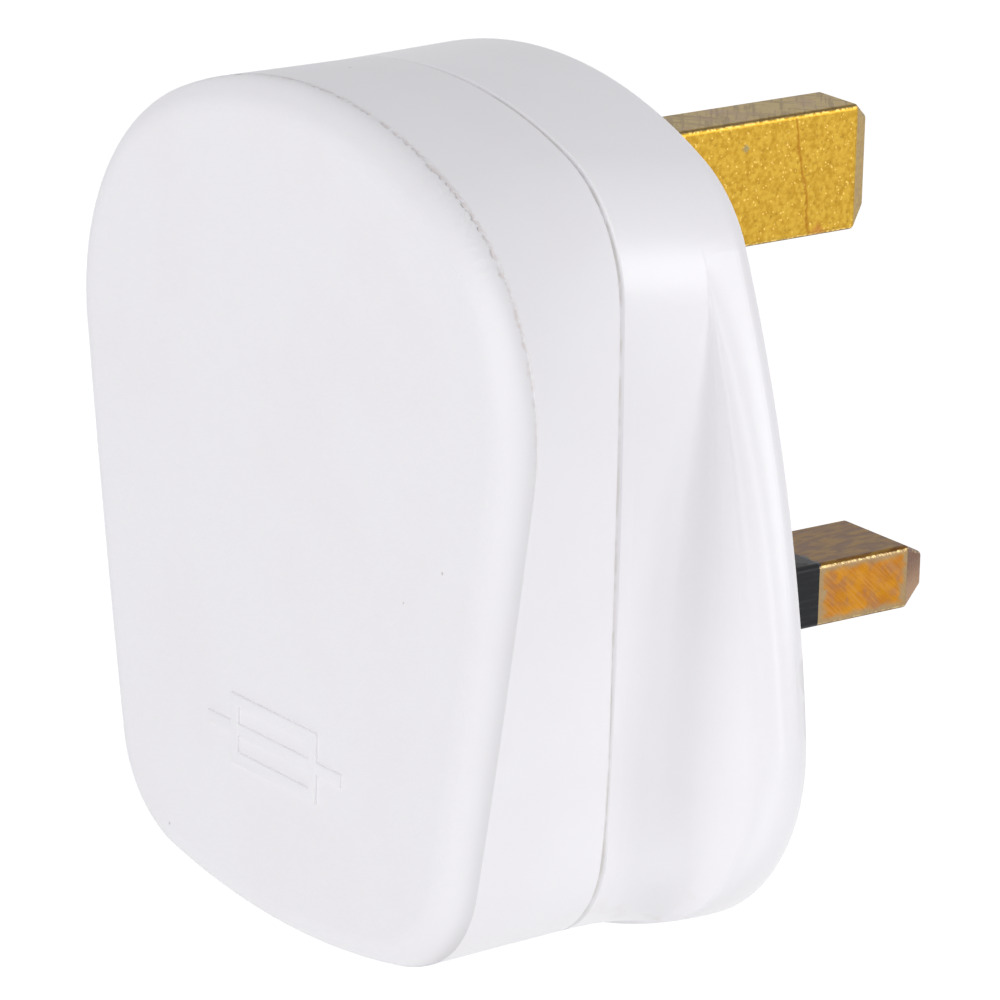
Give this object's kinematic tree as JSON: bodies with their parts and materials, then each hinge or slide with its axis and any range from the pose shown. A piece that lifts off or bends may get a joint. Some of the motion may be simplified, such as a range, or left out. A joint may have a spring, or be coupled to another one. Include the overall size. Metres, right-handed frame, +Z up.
{
  "type": "three pin mains plug",
  "caption": "White rewirable mains plug with flat brass pins, black sleeves on the lower pins, a flared finger grip, a flat cover and a cartridge fuse inside.",
  "frame": {"origin": "on the face that meets the socket, midway between the live and the neutral pin", "axes": "+Y along the pins, out of the plug; +Z up, towards the earth pin; +X towards the live pin"},
  "size_m": [0.052, 0.0428, 0.0528],
  "materials": {
    "base_plastic": "smooth white moulding",
    "cover_plastic": "white moulding, finely textured on its face",
    "grip_plastic": "plain white moulding",
    "sleeve_plastic": "charcoal, slightly glossy",
    "pin_brass": "bare brass, tarnished and scratched",
    "plated_steel": "zinc plated",
    "clip_copper": "bare copper alloy strip",
    "fuse_ceramic": "unglazed tube",
    "fuse_wire": "tinned wire",
    "fuse_cap": "nickel plated cap"
  },
  "bodies": {
    "root": {"base": "base_plastic", "cover": "cover_plastic", "cord_grip": "grip_plastic", "neutral_pin_sleeve": "sleeve_plastic", "live_pin_sleeve": "sleeve_plastic", "live_pin_fuse_clip": "clip_copper", "terminal_fuse_clip": "clip_copper", "fuse_barrel": "fuse_ceramic", "fuse_element": "fuse_wire", "fuse_cap_lower": "fuse_cap", "fuse_cap_upper": "fuse_cap", "earth_pin": "pin_brass", "neutral_pin": "pin_brass", "live_pin": "pin_brass", "live_terminal": "pin_brass", "earth_terminal_screw": "plated_steel", "neutral_terminal_screw": "plated_steel", "live_terminal_screw": "plated_steel", "cover_screw": "plated_steel", "cover_screw_washer": "plated_steel", "cover_nut": "plated_steel", "cord_grip_screws": "plated_steel"}
  },
  "joints": []
}
